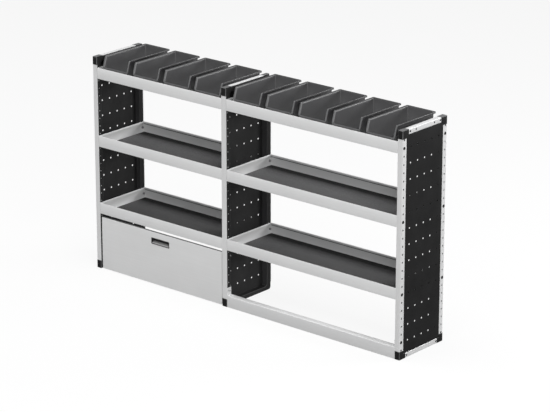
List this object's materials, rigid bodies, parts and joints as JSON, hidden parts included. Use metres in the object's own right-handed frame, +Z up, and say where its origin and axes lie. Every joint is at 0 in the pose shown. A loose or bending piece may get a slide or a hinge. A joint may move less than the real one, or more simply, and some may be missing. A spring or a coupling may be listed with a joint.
{
  "type": "van racking system",
  "caption": "Open van rack of two bays between perforated side frames, with lipped shelf trays, lift-out open-fronted bins along the top and a drop-down locker flap.",
  "frame": {"origin": "on the floor, under the middle of the bounding box", "axes": "+X along the rack to the right as seen from the front, +Y to the rear (the van's wall), +Z up; the open fronts of the bins face -Y"},
  "size_m": [2.232, 0.3816, 1.2893],
  "materials": {
    "satin_aluminium": "satin anodised extrusion",
    "light_grey_sheet": "satin folded sheet",
    "black_powder_coat": "matt black powder coat",
    "black_cap_plastic": "black moulded plastic, finely grained",
    "dark_grey_bin_plastic": "dark grey moulded plastic, satin",
    "ribbed_rubber": "dark grey anti-slip sheet",
    "zinc_plated_steel": "zinc-plated, satin"
  },
  "bodies": {
    "rack": {"left_front_upright": "satin_aluminium", "left_rear_upright": "satin_aluminium", "left_top_rail": "satin_aluminium", "left_bottom_rail": "satin_aluminium", "left_side_panel": "black_powder_coat", "left_cap_front_bottom": "black_cap_plastic", "left_cap_front_top": "black_cap_plastic", "left_cap_rear_bottom": "black_cap_plastic", "left_cap_rear_top": "black_cap_plastic", "middle_front_upright": "satin_aluminium", "middle_rear_upright": "satin_aluminium", "middle_top_rail": "satin_aluminium", "middle_bottom_rail": "satin_aluminium", "middle_side_panel": "black_powder_coat", "middle_cap_front_bottom": "black_cap_plastic", "middle_cap_front_top": "black_cap_plastic", "middle_cap_rear_bottom": "black_cap_plastic", "middle_cap_rear_top": "black_cap_plastic", "right_front_upright": "satin_aluminium", "right_rear_upright": "satin_aluminium", "right_top_rail": "satin_aluminium", "right_bottom_rail": "satin_aluminium", "right_side_panel": "black_powder_coat", "right_cap_front_bottom": "black_cap_plastic", "right_cap_front_top": "black_cap_plastic", "right_cap_rear_bottom": "black_cap_plastic", "right_cap_rear_top": "black_cap_plastic", "left_bay_lower_tray": "light_grey_sheet", "left_bay_upper_tray": "light_grey_sheet", "left_bay_top_tray": "light_grey_sheet", "left_bay_lower_mat": "ribbed_rubber", "left_bay_upper_mat": "ribbed_rubber", "right_bay_lower_tray": "light_grey_sheet", "right_bay_upper_tray": "light_grey_sheet", "right_bay_top_tray": "light_grey_sheet", "right_bay_lower_mat": "ribbed_rubber", "right_bay_upper_mat": "ribbed_rubber", "right_bay_front_rail": "satin_aluminium", "front_rail_bracket_left": "satin_aluminium", "front_rail_bracket_right": "satin_aluminium", "hinge_fixed_leaf": "zinc_plated_steel", "hinge_pin": "zinc_plated_steel", "left_bay_sill_rail": "satin_aluminium", "flap_catch_left": "black_cap_plastic", "flap_catch_right": "black_cap_plastic"},
    "flap": {"flap_panel": "light_grey_sheet", "flap_pull_cup": "black_cap_plastic", "hinge_flap_leaf": "zinc_plated_steel"},
    "left_bin_1_body": {"left_bin_1": "dark_grey_bin_plastic"},
    "left_bin_2_body": {"left_bin_2": "dark_grey_bin_plastic"},
    "left_bin_3_body": {"left_bin_3": "dark_grey_bin_plastic"},
    "left_bin_4_body": {"left_bin_4": "dark_grey_bin_plastic"},
    "right_bin_1_body": {"right_bin_1": "dark_grey_bin_plastic"},
    "right_bin_2_body": {"right_bin_2": "dark_grey_bin_plastic"},
    "right_bin_3_body": {"right_bin_3": "dark_grey_bin_plastic"},
    "right_bin_4_body": {"right_bin_4": "dark_grey_bin_plastic"},
    "right_bin_5_body": {"right_bin_5": "dark_grey_bin_plastic"}
  },
  "joints": [
    {"name": "flap_hinge", "type": "hinge", "parent": "rack", "child": "flap", "pos_m": [-0.61175, -0.17925, 0.009], "axis": [1, 0, 0], "range_deg": [0, 90]},
    {"name": "left_bin_1_lift", "type": "slide", "parent": "rack", "child": "left_bin_1_body", "axis": [0, 0, 1], "range_m": [0, 0.15]},
    {"name": "left_bin_2_lift", "type": "slide", "parent": "rack", "child": "left_bin_2_body", "axis": [0, 0, 1], "range_m": [0, 0.15]},
    {"name": "left_bin_3_lift", "type": "slide", "parent": "rack", "child": "left_bin_3_body", "axis": [0, 0, 1], "range_m": [0, 0.15]},
    {"name": "left_bin_4_lift", "type": "slide", "parent": "rack", "child": "left_bin_4_body", "axis": [0, 0, 1], "range_m": [0, 0.15]},
    {"name": "right_bin_1_lift", "type": "slide", "parent": "rack", "child": "right_bin_1_body", "axis": [0, 0, 1], "range_m": [0, 0.15]},
    {"name": "right_bin_2_lift", "type": "slide", "parent": "rack", "child": "right_bin_2_body", "axis": [0, 0, 1], "range_m": [0, 0.15]},
    {"name": "right_bin_3_lift", "type": "slide", "parent": "rack", "child": "right_bin_3_body", "axis": [0, 0, 1], "range_m": [0, 0.15]},
    {"name": "right_bin_4_lift", "type": "slide", "parent": "rack", "child": "right_bin_4_body", "axis": [0, 0, 1], "range_m": [0, 0.15]},
    {"name": "right_bin_5_lift", "type": "slide", "parent": "rack", "child": "right_bin_5_body", "axis": [0, 0, 1], "range_m": [0, 0.15]}
  ]
}
